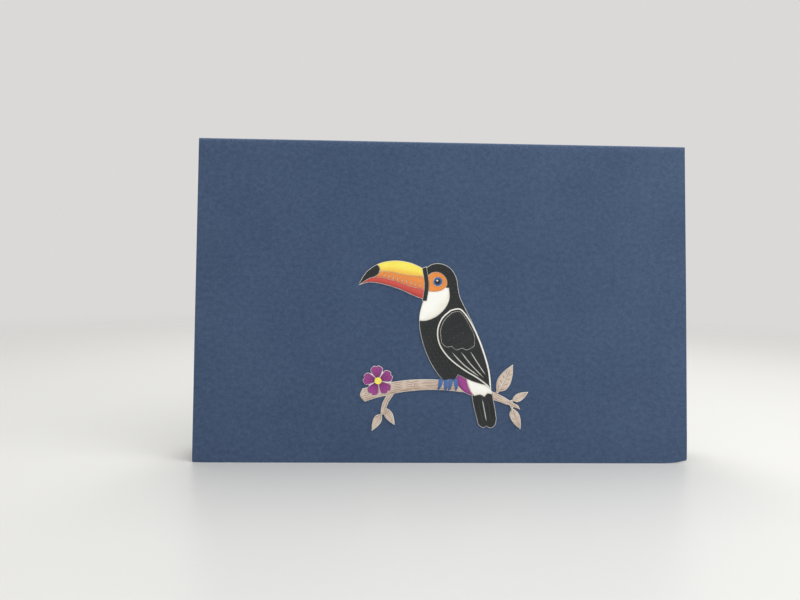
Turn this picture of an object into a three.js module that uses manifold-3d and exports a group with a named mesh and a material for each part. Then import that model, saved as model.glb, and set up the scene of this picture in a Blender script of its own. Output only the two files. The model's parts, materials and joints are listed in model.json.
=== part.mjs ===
// A folded greeting card that stands as a narrow tent. The cover is one sheet of stiff navy board, folded
// along its top edge, with a white writing panel glued inside the back leaf. The front leaf carries a small
// picture in cut paper, a toucan on a leafy branch, laid piece by piece on a white backing.
//
// Millimetres, +Z up. The card stands on z = 0 with its fold along X and its front facing -Y.

import * as THREE from "three";
import { mergeVertices } from "three/addons/utils/BufferGeometryUtils.js";
import Module from "manifold-3d";

const wasm = await Module();
wasm.setup();

// ---------------------------------------------------------------- driving dimensions

const CARD_WIDTH = 200;
const LEAF_LENGTH = 130; // from the fold to the foot, along the leaf
const BOARD = 0.5; // thickness of the cover board
const LEAN = THREE.MathUtils.degToRad(5); // of each leaf from the upright, as the card stands
const FOLD_OFFSET = 0.25; // from the plane through the fold to a leaf's inner face
const FOLD_RELIEF = 0.15; // where a leaf starts, just below the fold line
const FOLD_HEIGHT = LEAF_LENGTH * Math.cos(LEAN);

const PANEL_MARGIN = 5; // of the writing panel, to the leaf's edges
const PANEL_THICKNESS = 0.2;
const PANEL_GLUE = 0.05; // between the panel and the leaf

const PICTURE_HEIGHT = 48; // of the picture's middle, above the foot
const PAPER = 0.3; // thickness of a cut piece
const LAYER_GAP = 0.1; // between one layer and the next
const KERF = 0.22; // of the cuts between pieces in one layer
const RIM = 0.4; // of backing that shows round the picture
const WING_EDGE = 0.55; // of white lining that shows round the wing
const SLOT_WIDTH = 0.42; // of the slots between feathers
const TICK_WIDTH = 0.3; // of the ticks along the bill's cutting edge
const TICK_COUNT = 9;
const CURVE_STEPS = 3; // straight steps from one point of an outline to the next
const PROBE_RADIUS = 0.3; // of the disc that finds a piece by a place on it

// ---------------------------------------------------------------- papers

const paper = (color, roughness = 0.85) => new THREE.MeshStandardMaterial({ color, roughness, metalness: 0 });

const navyBoard = paper(0x46587a, 0.9);
const whitePaper = paper(0xf4f3ee);
const blackPaper = paper(0x2f3132);
const yellowPaper = paper(0xf4e66c);
const orangePaper = paper(0xe08a4c);
const redPaper = paper(0xc8584f);
const magentaPaper = paper(0x92467f);
const bluePaper = paper(0x4d6fa6);
const tanPaper = paper(0xc1afa2);

// ---------------------------------------------------------------- outlines

const vector = ([x, y]) => new THREE.Vector2(x, y);

/** A closed outline: each run is a smooth curve through its points, with a corner where two runs meet. */
function outline(firstRun, ...moreRuns) {
  const [start, ...rest] = firstRun.map(vector);
  const shape = new THREE.Shape().moveTo(start.x, start.y);
  shape.splineThru(rest);
  moreRuns.forEach((run) => shape.splineThru(run.map(vector)));
  return shape.curves.flatMap((curve) => curve.getPoints((curve.points.length - 1) * CURVE_STEPS).slice(1));
}

/** A round outline. */
function disc([x, y], radius, steps = 18) {
  return new THREE.Path().absarc(x, y, radius, 0, 2 * Math.PI).getPoints(steps).slice(1);
}

/** A narrow strip along a smooth route: of one width, or rounded off towards both ends. */
function strip(route, width, rounded = false) {
  const curve = new THREE.SplineCurve(route.map(vector));
  const steps = (route.length - 1) * CURVE_STEPS;
  const beside = (side) => (step) => {
    const t = step / steps;
    const along = curve.getTangent(t);
    const narrowing = rounded ? Math.sqrt(Math.max(1 - (2 * t - 1) ** 4, 0.05)) : 1;
    const aside = new THREE.Vector2(along.y, -along.x);
    return curve.getPoint(t).addScaledVector(aside, (side * narrowing * width) / 2);
  };
  const forth = Array.from({ length: steps + 1 }, (_, step) => step);
  const back = forth.toReversed();
  return [...forth.map(beside(1)), ...back.map(beside(-1))];
}

/** The outline scaled, turned by an angle in degrees and moved to its place. */
function placed(points, place, degrees, size = 1) {
  const turn = THREE.MathUtils.degToRad(degrees);
  const origin = new THREE.Vector2();
  const shift = vector(place);
  return points.map((point) => point.clone().multiplyScalar(size).rotateAround(origin, turn).add(shift));
}

/** The outline pushed outwards by a margin. A sharp tip moves by at most twice the margin. */
function grown(points, margin) {
  const side = THREE.ShapeUtils.isClockWise(points) ? -margin : margin;
  return points.map((point, i) => {
    const edgeIn = point.clone().sub(points.at(i - 1)).normalize();
    const edgeOut = points[(i + 1) % points.length].clone().sub(point).normalize();
    const outward = new THREE.Vector2(edgeIn.y + edgeOut.y, -edgeIn.x - edgeOut.x);
    return point.clone().addScaledVector(outward, side / Math.max(outward.lengthSq() / 2, 0.5));
  });
}

// ---------------------------------------------------------------- solids

/** A closed geometry as a solid that can be joined and cut. */
function solidOf(geometry) {
  geometry.deleteAttribute("normal");
  geometry.deleteAttribute("uv");
  const merged = mergeVertices(geometry);
  const vertProperties = new Float32Array(merged.attributes.position.array);
  const triVerts = new Uint32Array(merged.index.array);
  return new wasm.Manifold(new wasm.Mesh({ numProp: 3, vertProperties, triVerts }));
}

/** A named mesh of a solid. */
function meshOf(name, solid, material) {
  const { vertProperties, triVerts } = solid.getMesh();
  const geometry = new THREE.BufferGeometry();
  geometry.setAttribute("position", new THREE.BufferAttribute(vertProperties, 3));
  geometry.setIndex(new THREE.BufferAttribute(triVerts, 1));
  const mesh = new THREE.Mesh(geometry, material);
  mesh.name = name;
  return mesh;
}

/** Paper cut to an outline. */
function sheet(points) {
  return solidOf(new THREE.ExtrudeGeometry(new THREE.Shape(points), { depth: PAPER, bevelEnabled: false }));
}

/** The solid without the outlines in front of it, each with a kerf round it. */
function cutRound(solid, ...inFront) {
  return inFront.reduce((rest, points) => rest.subtract(sheet(grown(points, KERF))), solid);
}

/** The solid without the given slots. */
function slotted(solid, slots) {
  return slots.reduce((rest, points) => rest.subtract(sheet(points)), solid);
}

/** The separate body of a solid that holds a place; the offcuts are dropped. */
function bodyAt(solid, place) {
  const probe = sheet(disc(place, PROBE_RADIUS, 6));
  return solid.decompose().find((lump) => lump.intersect(probe).volume() > 0);
}

// ---------------------------------------------------------------- the picture's outlines
// Measured from the picture's middle. The bird looks towards -X.

const bill = outline(
  [[-8.4, 30], [-13.6, 32.3], [-19.8, 33.2], [-26, 32.1], [-31.2, 28.8], [-34.6, 23.4]],
  [[-30.6, 24.6], [-24.8, 23.9], [-18, 21.9], [-12.6, 19.5], [-8.2, 17.8]],
  [[-7.4, 23.8], [-8.4, 30]],
);
const billGape = [[-35.4, 22.6], [-29, 26.5], [-21.4, 25.5], [-14.4, 23.2], [-6.8, 21.4]];
const billCulmen = [[-26.6, 28.9], [-21.6, 28.7], [-15.4, 27.5], [-6.8, 26.8]];
const billTip = [[-28.2, 32.6], [-26.3, 30.4], [-26.6, 28], [-28.9, 26.3]];
const billTicks = Array.from({ length: TICK_COUNT }, (_, i) => {
  const [x, y] = [-24.5 + 1.82 * i, 26.65 - 0.5 * i];
  return strip([[x, y], [x + 0.35, y + 1.45]], TICK_WIDTH);
});
const billBase = outline(
  [[-8.9, 30.3], [-7.9, 23.8], [-8.7, 17.2]],
  [[-7.2, 17.2]],
  [[-6.3, 23.8], [-7.4, 30.9]],
  [[-8.9, 30.3]],
);

const eyeSkin = outline(
  [[-7, 27], [-4.6, 28.6], [-1.8, 28.5], [0.5, 26.5], [1, 23.8], [-0.7, 21.8], [-3.6, 21], [-7, 21.2]],
  [[-7, 27]],
);
const eyeMiddle = [-2.6, 25];
const eyeRing = disc(eyeMiddle, 1.75);
const eyePupil = disc(eyeMiddle, 1.05, 14);
const eyeGlint = disc([-2.9, 25.4], 0.35, 10);

const body = outline(
  [[-8.3, 29.6], [-4.9, 31.9], [-1, 32.1], [2.6, 30.2], [4.8, 26.6], [5.5, 22.6], [6.4, 18.6], [9, 13.2],
    [12.4, 6.4], [15.2, -1.2], [17.4, -8.8], [18.9, -17]],
  [[12, -15.2], [5.8, -12.4]],
  [[5.2, -13.6], [3.9, -14.9]],
  [[2.6, -14.2], [0.6, -15.3]],
  [[-0.6, -14.1], [-2, -12.6]],
  [[-5.2, -7.6], [-8, -1], [-9.6, 5.6], [-9.8, 11], [-8.9, 15.2], [-8.2, 17.6], [-7.4, 23.8]],
  [[-8.3, 29.6]],
);
const bib = outline(
  [[-10.4, 9.4], [-7.4, 9.3], [-3.4, 10.9], [0.2, 14.2], [2, 18.2], [1.8, 22.4]],
  [[-10.4, 22.4]],
  [[-10.4, 9.4]],
);

const wing = outline(
  [[2.6, 13.6], [-1, 10.2], [-2.8, 5], [-1.8, -0.8], [2.2, -6.2], [8.2, -10.8], [14.2, -14.4], [19.3, -18.4]],
  [[18.4, -10.6], [16, -2.4], [12.9, 5.2], [9.6, 11], [6.4, 14.2], [2.6, 13.6]],
);
const wingCoverts = outline(
  [[3.2, 12.3], [0.2, 9.2], [-1.3, 5], [-0.7, 0.2]],
  [[1, -1.2], [3.2, -1]],
  [[5.2, -2.4], [7.4, -1.6]],
  [[9.4, -2.4], [12.2, -0.8]],
  [[12.2, 3], [10.4, 7], [8.2, 10.8], [6, 12.9], [3.2, 12.3]],
);
const wingSlots = [
  [[3.4, -3.6], [8, -8.4], [14.4, -13.2]],
  [[7, -3.4], [11.2, -8.6], [16.2, -13.6]],
  [[10.8, -3.2], [13.6, -7.6], [17, -12.6]],
];

const vent = outline(
  [[4.4, -12], [9.2, -14.2]],
  [[10.2, -17.8], [11.9, -20.9]],
  [[8.8, -19.6], [6, -16.8], [4.4, -12]],
);
const rump = outline(
  [[9.6, -14.6], [14, -15], [18.8, -17]],
  [[19.6, -20.2]],
  [[17.8, -19.9], [16.6, -21.2]],
  [[14.8, -20.4], [12.5, -20.9]],
  [[10.8, -18.4], [9.6, -14.6]],
);
const tail = outline(
  [[11.2, -17.6], [12.2, -24], [13.6, -29.6]],
  [[14.4, -32.4], [16, -33.6], [17.6, -33]],
  [[19.2, -33.8], [20.9, -32.6], [21.4, -30.2]],
  [[20.6, -25], [18.9, -17.8]],
  [[11.2, -17.6]],
);
const tailSlot = [[15.7, -22.2], [16.6, -26.5], [17.5, -31.2]];

const toe = outline(
  [[0, 0.75], [2.4, 0.8], [4, 0.35], [4.9, -0.5]],
  [[3.4, -0.55], [1.6, -0.8], [0, -0.75]],
  [[0, 0.75]],
);
const toePlaces = [
  { place: [-0.9, -14.2], degrees: 258 },
  { place: [0.9, -14.6], degrees: 270 },
  { place: [3, -14.3], degrees: 262 },
  { place: [4.8, -14.2], degrees: 276 },
];

const branch = outline(
  [[-32.6, -18.6], [-26, -16.9], [-17, -15.3], [-7, -14.7], [3, -15.3], [13, -17.2], [22.5, -20.6],
    [30.4, -25.2]],
  [[31, -26.4]],
  [[22, -23], [12.6, -20.4], [3, -18.9], [-7, -18.6], [-17, -19.6], [-26, -21.6], [-31.6, -23.4]],
  [[-33.4, -21.2], [-32.6, -18.6]],
);
const twig = outline(
  [[-22, -20.2], [-24.4, -24.2], [-25.2, -28.6]],
  [[-23.9, -28.6]],
  [[-22.4, -24], [-19.6, -19.6]],
  [[-22, -20.2]],
);

const leaf = outline(
  [[0, -0.35], [2.2, -0.5], [4.4, -2.5], [8, -2.9], [12.4, -1.5], [16, 0.6]],
  [[11.6, 2.3], [7, 2.9], [3.6, 1.7], [2, 0.45], [0, 0.35]],
  [[0, -0.35]],
);
const leafVein = strip([[2.6, 0], [7.5, 0.15], [13.4, 0.35]], 0.5, true);
const leafPlaces = [
  { place: [21.2, -20.6], degrees: 58, size: 0.86 },
  { place: [27.4, -23.2], degrees: 26, size: 0.48 },
  { place: [27.6, -25.2], degrees: -70, size: 0.6 },
  { place: [-24.6, -28], degrees: -122, size: 0.5 },
  { place: [-23.8, -25.6], degrees: -62, size: 0.5 },
];

const petal = outline(
  [[0.9, -0.35], [2.4, -1.45], [4.5, -2.3], [5.9, -1]],
  [[5.5, 0]],
  [[5.9, 1], [4.5, 2.3], [2.4, 1.45], [0.9, 0.35]],
  [[0.9, -0.35]],
);
const blossomMiddle = [-26.4, -15.2];
const petals = [98, 170, 242, 314, 386].map((degrees) => placed(petal, blossomMiddle, degrees));
const blossomCentre = disc(blossomMiddle, 1.4, 14);

const toes = toePlaces.map(({ place, degrees }) => placed(toe, place, degrees));
const leaves = leafPlaces.map(({ place, degrees, size }) => placed(leaf, place, degrees, size));
const leafVeins = leafPlaces.map(({ place, degrees, size }) => placed(leafVein, place, degrees, size));

// ---------------------------------------------------------------- the picture's pieces
// Each function gives a list of meshes. Layer 0 is the backing, and each layer lies on the one before it.

/** A named piece of paper in its layer. */
function piece(name, solid, material, layer) {
  const mesh = meshOf(name, solid, material);
  mesh.position.z = LAYER_GAP + layer * (PAPER + LAYER_GAP);
  return mesh;
}

/** The white backing: all the outlines joined, with a rim round them. */
function makeBacking() {
  const all = [bill, billBase, body, wing, vent, rump, tail, branch, twig, ...leaves, ...petals];
  const joined = wasm.Manifold.union(all.map((points) => sheet(grown(points, RIM))));
  return [piece("picture_backing", joined, whitePaper, 0)];
}

/** The bill, parted along the dark tip, the culmen and the gape, with ticks along its cutting edge. */
function makeBill() {
  const cuts = [billTip, billCulmen, billGape].map((route) => strip(route, KERF));
  const parted = slotted(cutRound(sheet(bill), billBase), cuts);
  return [
    piece("bill_tip", bodyAt(parted, [-30, 28]), blackPaper, 1),
    piece("bill_culmen", bodyAt(parted, [-18, 31]), yellowPaper, 1),
    piece("bill_stripe", slotted(bodyAt(parted, [-25.5, 28]), billTicks), orangePaper, 1),
    piece("bill_lower", bodyAt(parted, [-14, 21.5]), redPaper, 1),
    piece("bill_base", sheet(billBase), blackPaper, 1),
  ];
}

/** The bare skin round the eye, with the ring let in, and the pupil and its glint on top. */
function makeEye() {
  return [
    piece("eye_skin", cutRound(sheet(eyeSkin), billBase, eyeRing), orangePaper, 1),
    piece("eye_ring", sheet(eyeRing), bluePaper, 1),
    piece("eye_pupil", sheet(eyePupil), blackPaper, 2),
    piece("eye_glint", sheet(eyeGlint), whitePaper, 3),
  ];
}

/** The head and trunk in one black piece, with the white bib let in under the face. */
function makeBody() {
  const trunk = cutRound(sheet(body), billBase, eyeSkin, bib);
  const throat = cutRound(sheet(body).intersect(sheet(bib)), billBase, eyeSkin);
  return [
    piece("bird_body", bodyAt(trunk, [0, 5]), blackPaper, 1),
    piece("throat_bib", bodyAt(throat, [-4, 15]), whitePaper, 1),
  ];
}

/** The folded wing: a white lining that shows as its edge and through its slots, and two black pieces. */
function makeWing() {
  const slots = wingSlots.map((route) => strip(route, SLOT_WIDTH, true));
  const flight = slotted(cutRound(sheet(grown(wing, -WING_EDGE)), wingCoverts), slots);
  return [
    piece("wing_lining", sheet(wing), whitePaper, 2),
    piece("wing_feathers", bodyAt(flight, [7, -7.4]), blackPaper, 3),
    piece("wing_coverts", sheet(wingCoverts), blackPaper, 3),
  ];
}

/** The vent, the rump and the tail, each cut back behind the one above it. */
function makeTail() {
  const feathers = slotted(cutRound(sheet(tail), body, vent, rump), [strip(tailSlot, SLOT_WIDTH, true)]);
  return [
    piece("vent", bodyAt(cutRound(sheet(vent), body, rump), [8.6, -17]), magentaPaper, 1),
    piece("rump", bodyAt(cutRound(sheet(rump), body), [14, -18]), whitePaper, 1),
    piece("tail", bodyAt(feathers, [14, -26]), blackPaper, 1),
  ];
}

/** The toes, folded over the branch. */
function makeToes() {
  return toes.map((points, i) => piece(`toe_${i + 1}`, sheet(points), bluePaper, 2));
}

/** The branch on both sides of the bird, its twig and its leaves. */
function makeBranch() {
  const limb = cutRound(sheet(branch), body, vent, rump, tail, blossomCentre, ...petals);
  const blades = leaves.map((points, i) => slotted(cutRound(sheet(points), branch, twig), [leafVeins[i]]));
  return [
    piece("branch_left", bodyAt(limb, [-12, -17]), tanPaper, 1),
    piece("branch_right", bodyAt(limb, [24, -22.4]), tanPaper, 1),
    piece("twig", bodyAt(cutRound(sheet(twig), branch), [-24, -25]), tanPaper, 1),
    ...blades.map((blade, i) => piece(`leaf_${i + 1}`, blade, tanPaper, 1)),
  ];
}

/** The blossom on the branch. */
function makeBlossom() {
  return [
    ...petals.map((points, i) => piece(`petal_${i + 1}`, sheet(points), magentaPaper, 1)),
    piece("blossom_centre", sheet(blossomCentre), yellowPaper, 2),
  ];
}

/** The whole picture, its middle on the front leaf's axis. */
function makePicture() {
  const picture = new THREE.Group();
  picture.position.set(0, PICTURE_HEIGHT - LEAF_LENGTH, FOLD_OFFSET + BOARD);
  picture.add(...makeBacking(), ...makeBill(), ...makeEye(), ...makeBody(), ...makeWing());
  picture.add(...makeTail(), ...makeToes(), ...makeBranch(), ...makeBlossom());
  return picture;
}

// ---------------------------------------------------------------- the card
// A leaf's own frame has its origin on the fold, X along the fold, Y up the leaf and Z outwards.

/** One leaf of the cover, cut level at its foot. */
function makeLeaf(name) {
  const inner = FOLD_OFFSET;
  const outer = FOLD_OFFSET + BOARD;
  const footAt = (height) => -LEAF_LENGTH - height * Math.tan(LEAN);
  const section = new THREE.Shape([
    new THREE.Vector2(footAt(inner), inner),
    new THREE.Vector2(-FOLD_RELIEF, inner),
    new THREE.Vector2(-FOLD_RELIEF, outer),
    new THREE.Vector2(footAt(outer), outer),
  ]);
  const board = new THREE.ExtrudeGeometry(section, { depth: CARD_WIDTH, bevelEnabled: false });
  const toLeaf = new THREE.Matrix4().set(0, 0, 1, -CARD_WIDTH / 2, 1, 0, 0, 0, 0, 1, 0, 0, 0, 0, 0, 1);
  return meshOf(name, solidOf(board.applyMatrix4(toLeaf)), navyBoard);
}

/** The white panel for the message, glued inside a leaf. */
function makeWritingPanel() {
  const width = CARD_WIDTH - 2 * PANEL_MARGIN;
  const length = LEAF_LENGTH - 2 * PANEL_MARGIN;
  const panel = new THREE.BoxGeometry(width, length, PANEL_THICKNESS);
  panel.translate(0, -LEAF_LENGTH / 2, FOLD_OFFSET - PANEL_GLUE - PANEL_THICKNESS / 2);
  return meshOf("writing_panel", solidOf(panel), whitePaper);
}

/** A leaf's pieces, hung from the fold and leaning outwards. */
function standing(...pieces) {
  const leaning = new THREE.Group();
  leaning.position.z = FOLD_HEIGHT;
  leaning.rotation.x = Math.PI / 2 - LEAN;
  leaning.add(...pieces);
  return leaning;
}

/** The whole card: the front leaf with the picture, and the back leaf turned away from it. */
function makeCard() {
  const front = standing(makeLeaf("front_leaf"), makePicture());
  const back = new THREE.Group();
  back.rotation.z = Math.PI;
  back.add(standing(makeLeaf("back_leaf"), makeWritingPanel()));
  const card = new THREE.Group();
  card.add(front, back);
  return card;
}

export default makeCard();
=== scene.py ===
"""Looks of a folded greeting card that stands as a narrow tent.

The cover is one bent sheet of felt-marked navy board, the inside carries a white writing panel, and the
front leaf carries a picture in cut paper: a toucan on a leafy branch. Every piece takes its place from the
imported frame. Lengths are metres unless a name says otherwise.
"""

import json
import logging
import math
import zlib
from dataclasses import dataclass, field
from enum import Enum
from functools import cached_property

import bpy
import numpy as np
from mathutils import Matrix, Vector
from mathutils.geometry import delaunay_2d_cdt


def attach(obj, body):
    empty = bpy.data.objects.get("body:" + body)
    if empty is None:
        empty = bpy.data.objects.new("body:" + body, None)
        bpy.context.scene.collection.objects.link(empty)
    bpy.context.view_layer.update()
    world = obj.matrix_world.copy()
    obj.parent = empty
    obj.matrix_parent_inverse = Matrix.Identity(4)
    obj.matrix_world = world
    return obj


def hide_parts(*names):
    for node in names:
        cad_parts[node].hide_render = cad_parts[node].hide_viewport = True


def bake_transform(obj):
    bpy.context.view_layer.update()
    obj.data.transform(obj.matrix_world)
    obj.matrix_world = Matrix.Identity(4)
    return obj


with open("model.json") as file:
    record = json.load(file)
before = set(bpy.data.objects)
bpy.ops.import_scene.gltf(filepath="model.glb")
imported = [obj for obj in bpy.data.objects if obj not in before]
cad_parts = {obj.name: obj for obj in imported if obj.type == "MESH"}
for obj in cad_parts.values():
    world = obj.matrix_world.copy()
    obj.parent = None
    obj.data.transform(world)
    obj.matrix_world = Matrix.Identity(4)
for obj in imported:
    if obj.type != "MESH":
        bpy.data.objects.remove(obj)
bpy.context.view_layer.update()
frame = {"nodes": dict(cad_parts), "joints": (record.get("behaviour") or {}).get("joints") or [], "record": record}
log = logging.getLogger("greeting_card")

MM = 0.001
SAME_POINT = 0.002 * MM
SHARPEST = 0.6
Array = np.ndarray
Range = tuple[float, float]
Triple = tuple[float, float, float]
Colour = Triple
Socket = bpy.types.NodeSocket
Feed = Socket | float | tuple[float, ...]


class Body(Enum):
    """The two bodies that the fold joins."""

    FRONT = "front"
    BACK = "back"


# ---------------------------------------------------------------------------------------- finishes


def linear(colour: Colour) -> tuple[float, float, float, float]:
    """Turns a display colour, 0 to 255 a channel, into the shader's linear red, green, blue and alpha.

    A dark channel is divided by 12.92. A lighter one is raised by 0.055, divided by 1.055, and taken to the
    power of 2.4.

    Args:
        colour: red, green and blue as a screen shows them.

    Returns:
        The same colour in linear light, with full alpha.
    """
    share = np.asarray(colour, float) / 255.0
    light = np.where(share <= 0.04045, share / 12.92, ((share + 0.055) / 1.055) ** 2.4)
    return (*light.tolist(), 1.0)


def shade(colour: Colour, levels: float) -> Colour:
    """Lightens a display colour by so many levels in every channel, or darkens it by a negative number."""
    return tuple(float(np.clip(channel + levels, 0, 255)) for channel in colour)


class Graph:
    """A material's node graph, built one node at a time."""

    def __init__(self, name: str) -> None:
        """Starts an empty graph in a new material.

        Args:
            name: the material's name.
        """
        self.material = bpy.data.materials.new(name)
        self.material.use_nodes = True
        self.tree = self.material.node_tree
        self.tree.nodes.clear()

    def add(self, kind: str, inputs: dict | None = None, **settings: object) -> bpy.types.Node:
        """Adds a node.

        Args:
            kind: the node's type, without the word ShaderNode.
            inputs: socket name or number to a value, or to the socket that feeds it.
            settings: the node's own properties.

        Returns:
            The new node.
        """
        node = self.tree.nodes.new("ShaderNode" + kind)
        for key, value in settings.items():
            setattr(node, key, value)
        for socket, value in (inputs or {}).items():
            if isinstance(value, Socket):
                self.tree.links.new(value, node.inputs[socket])
            else:
                node.inputs[socket].default_value = value
        return node

    def attribute(self, name: str) -> Socket:
        """Returns the socket of a mesh attribute's value."""
        return self.add("Attribute", attribute_name=name).outputs["Fac"]

    def blend_colours(self, share: Feed, first: Feed, second: Feed) -> Socket:
        """Mixes two colours by a share from 0, the first, to 1, the second, and returns the socket."""
        mix = self.add("Mix", {0: share, 6: first, 7: second}, data_type="RGBA", clamp_factor=True)
        return mix.outputs[2]

    def mottle(self, share: Feed, colour: Colour, levels: float) -> Socket:
        """Mixes by a share from so many levels below a colour to as many above, and returns the socket."""
        return self.blend_colours(share, linear(shade(colour, -levels)), linear(shade(colour, levels)))

    def remap(self, value: Feed, source: Range, target: Range = (0.0, 1.0)) -> Socket:
        """Maps a value evenly from one range onto another.

        Args:
            value: the socket of the value.
            source: the value's range, beyond which the result is held.
            target: the result at either end of the range.

        Returns:
            The socket of the result.
        """
        inputs = {0: value, 1: source[0], 2: source[1], 3: target[0], 4: target[1]}
        return self.add("MapRange", inputs).outputs[0]

    def noise(self, place: Socket, size_mm: float, detail: float, roughness: float = 0.5) -> Socket:
        """Adds a noise and returns the socket of its value.

        Args:
            place: the socket of the pattern's coordinates, in metres.
            size_mm: the size of the noise's coarsest features.
            detail: how many finer octaves it has.
            roughness: how strong each finer octave is beside the last.

        Returns:
            The socket of the noise, from 0 to 1 about a middle of a half.
        """
        inputs = {"Vector": place, "Scale": 1 / (size_mm * MM), "Detail": detail, "Roughness": roughness}
        return self.add("TexNoise", inputs).outputs[0]

    def threads(self, place: Socket, size_mm: float, width: float) -> Socket:
        """Adds thin curls, as of loose fibres, and returns the socket of their strength.

        A curl runs wherever a distorted noise is near its middle, a half, and fades to both sides of it.

        Args:
            place: the socket of the pattern's coordinates, in metres.
            size_mm: the size of the noise's features.
            width: how far from its middle the noise still makes a thread.

        Returns:
            The socket of the threads' strength, 0 between them and 1 along them.
        """
        inputs = {"Vector": place, "Scale": 1 / (size_mm * MM), "Detail": 1.0, "Distortion": 0.8}
        noise = self.add("TexNoise", inputs).outputs[0]
        away = self.add("Math", {0: noise, 1: 0.5}, operation="SUBTRACT").outputs[0]
        away = self.add("Math", {0: away}, operation="ABSOLUTE").outputs[0]
        return self.remap(away, (0.0, width), (1.0, 0.0))

    def product(self, first: Feed, second: Feed) -> Socket:
        """Returns the socket of first times second."""
        return self.add("Math", {0: first, 1: second}, operation="MULTIPLY").outputs[0]

    def sum_of(self, first: Feed, second: Feed, weight: float) -> Socket:
        """Returns the socket of first times weight plus second."""
        return self.add("Math", {0: first, 1: weight, 2: second}, operation="MULTIPLY_ADD").outputs[0]

    def finish(self, surface: Socket) -> bpy.types.Material:
        """Leads a surface shader to the output and returns the material."""
        self.add("OutputMaterial", {"Surface": surface})
        return self.material


@dataclass(frozen=True)
class Paper:
    """A matt paper: its colour, mottle and relief, and the tones of its wash, its scores and its cut edge.

    The mottle and the fray are in display levels. A range is the part of a noise over which a tone changes.
    """

    name: str
    colour: Colour
    edge_colour: Colour
    wash_colour: Colour
    score_colour: Colour
    mottle: float = 4.0
    fibre_mm: float = 0.35
    cloud_mm: float = 9.0
    relief_mm: float = 0.012
    roughness: float = 0.82
    sheen: float = 0.12
    toast: float = 0.12
    tone_range: Range = (0.75, 1.25)
    patch_range: Range = (0.3, 0.7)
    patch_strength: Range = (0.75, 1.15)
    fibre_turn: Triple = (0.3, 0.2, 0.5)
    fibre_squeeze: Triple = (0.45, 1.0, 1.0)
    fray: float = 12.0
    fray_mm: float = 0.12
    fray_relief_mm: float = 0.01

    def face(self) -> bpy.types.Material:
        """Makes the material of the paper's faces.

        A fine noise, stretched along the fibres, plus a coarse one make the tone of the pulp. The wash
        attribute, made patchy by the fibres, mixes in the wash's colour, and the toast attribute darkens the
        paper towards its cut edge.

        Returns:
            The material.
        """
        graph = Graph(self.name)
        place = graph.add("TexCoord").outputs["Object"]
        turned = {"Vector": place, "Rotation": self.fibre_turn, "Scale": self.fibre_squeeze}
        along = graph.add("Mapping", turned).outputs[0]
        fibre = graph.noise(along, self.fibre_mm, detail=4.0, roughness=0.6)
        cloud = graph.noise(place, self.cloud_mm, detail=2.0)
        tone = graph.remap(graph.sum_of(fibre, cloud, 1.0), self.tone_range)
        colour = graph.mottle(tone, self.colour, self.mottle)
        patchy = graph.remap(fibre, self.patch_range, self.patch_strength)
        wash = graph.product(graph.attribute(CutPaper.WASH_NAME), patchy)
        colour = graph.blend_colours(wash, colour, linear(self.wash_colour))
        toast = graph.product(graph.attribute(CutPaper.TOAST_NAME), self.toast)
        colour = graph.blend_colours(toast, colour, linear(self.edge_colour))
        return self.matt(graph, colour, fibre, self.relief_mm)

    def edge(self) -> bpy.types.Material:
        """Makes the material of the cut edge, where the blade or the beam has left the fibres bare."""
        return self.bare("_cut", self.edge_colour)

    def score(self) -> bpy.types.Material:
        """Makes the material of a scored line's bottom."""
        return self.bare("_scored", self.score_colour)

    def bare(self, suffix: str, tone: Colour) -> bpy.types.Material:
        """Makes a rough material of loose fibres.

        Args:
            suffix: what to add to the paper's name.
            tone: the colour of the fibres.

        Returns:
            The material, whose tone a very fine noise varies.
        """
        graph = Graph(self.name + suffix)
        place = graph.add("TexCoord").outputs["Object"]
        fibre = graph.noise(place, self.fray_mm, detail=3.0)
        colour = graph.blend_colours(fibre, linear(shade(tone, -self.fray)), linear(tone))
        return self.matt(graph, colour, fibre, self.fray_relief_mm)

    def matt(self, graph: Graph, colour: Socket, height: Socket, relief_mm: float) -> bpy.types.Material:
        """Finishes a graph with the paper's matt surface.

        Args:
            graph: the graph so far.
            colour: the socket of the base colour.
            height: the socket of the relief.
            relief_mm: the relief's depth.

        Returns:
            The material.
        """
        relief = graph.add("Bump", {"Height": height, "Distance": relief_mm * MM, "Strength": 1.0})
        shader = graph.add(
            "BsdfPrincipled",
            {
                "Base Color": colour,
                "Roughness": self.roughness,
                "Sheen Weight": self.sheen,
                "Sheen Roughness": 0.5,
                "Specular IOR Level": 0.3,
                "Normal": relief.outputs[0],
            },
        )
        return graph.finish(shader.outputs[0])


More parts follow.
